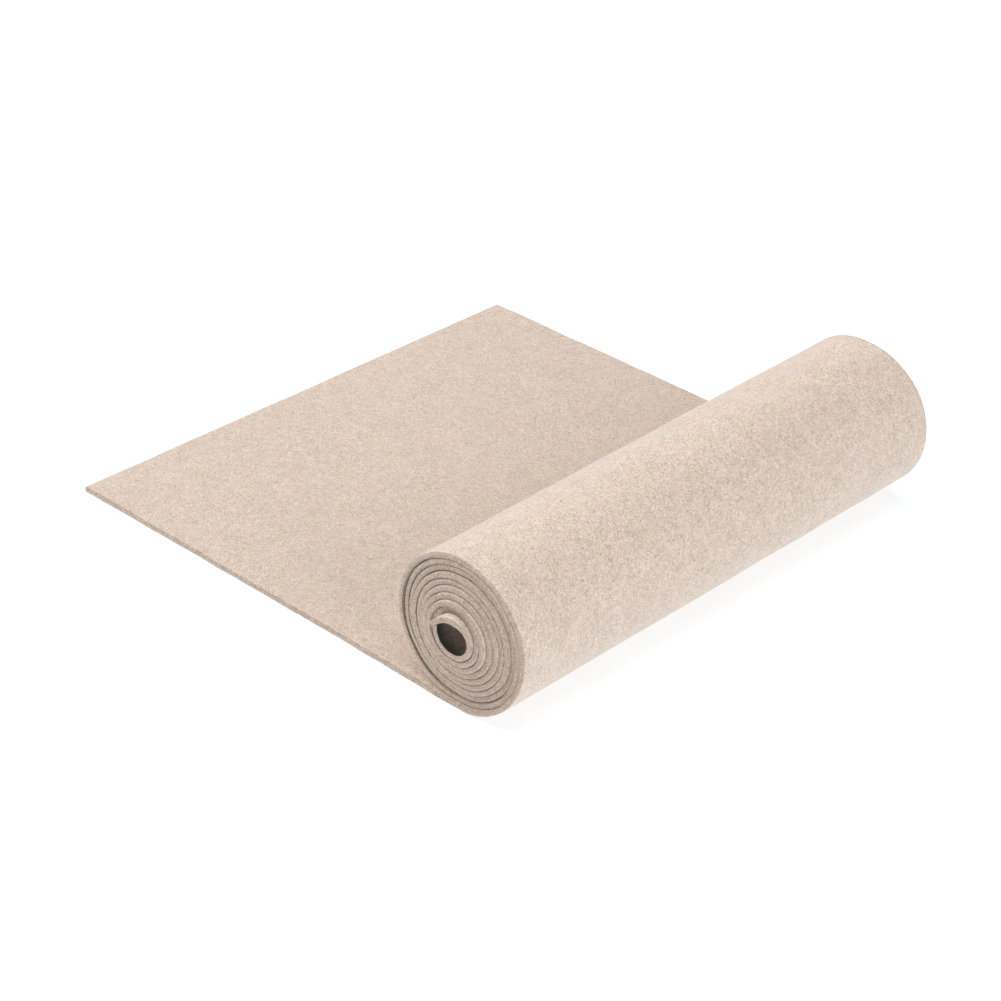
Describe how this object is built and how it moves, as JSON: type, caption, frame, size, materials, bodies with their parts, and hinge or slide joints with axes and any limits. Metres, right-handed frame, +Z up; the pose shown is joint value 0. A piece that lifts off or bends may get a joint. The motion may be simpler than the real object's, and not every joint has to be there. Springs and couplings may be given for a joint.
{
  "type": "roll of felt",
  "caption": "Thick pale felt wound into a loose spiral roll, with its outer end unrolled flat on the surface beside it.",
  "frame": {"origin": "middle of the footprint, on the surface that the felt lies on", "axes": "+Z up; the roll's axis runs along Y; the laid end runs towards -X; the end with the spiral that shows faces -Y"},
  "size_m": [0.5148, 0.523, 0.1378],
  "materials": {
    "felt": "matt, hairy pressed felt with a fine mottle"
  },
  "bodies": {
    "root": {"felt_roll": "felt"}
  },
  "joints": []
}
